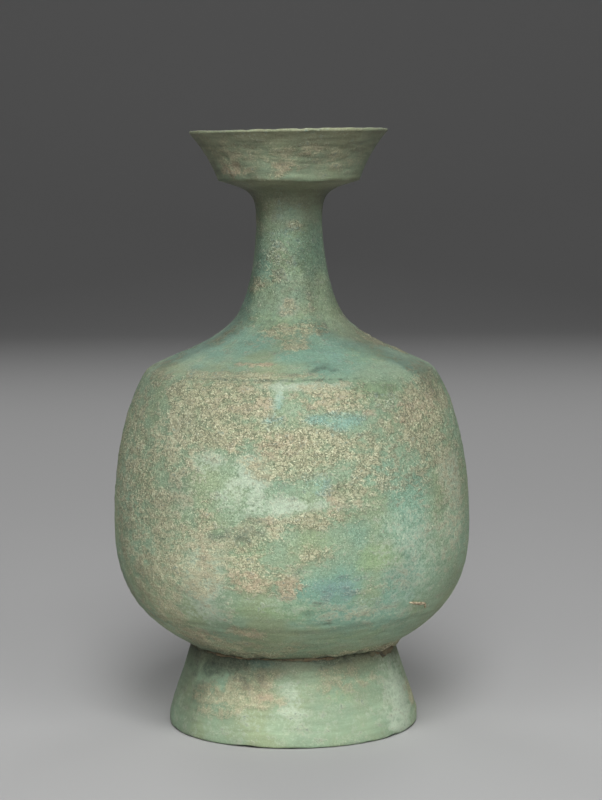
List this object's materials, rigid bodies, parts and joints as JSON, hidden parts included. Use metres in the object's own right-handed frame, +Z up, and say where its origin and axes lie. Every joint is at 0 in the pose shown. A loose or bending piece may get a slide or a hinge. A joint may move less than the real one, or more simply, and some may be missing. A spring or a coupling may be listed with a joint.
{
  "type": "wide-mouthed bottle",
  "caption": "Hollow bronze bottle with a flared dish mouth, slender neck, sloping shoulder, full body and a splayed foot ring, under green patina.",
  "frame": {"origin": "centre of the foot ring, on the surface that the bottle stands on", "axes": "+Z up along the bottle's axis of turning; X and Y across it, with -Y towards the side that the picture shows"},
  "size_m": [0.1918, 0.1918, 0.32],
  "materials": {
    "vessel_patina": "dull green and blue-green corrosion over cast bronze, with tan crust",
    "foot_patina": "dull pale green corrosion over cast bronze, with tan crust"
  },
  "bodies": {
    "root": {"vessel": "vessel_patina", "foot_ring": "foot_patina"}
  },
  "joints": []
}
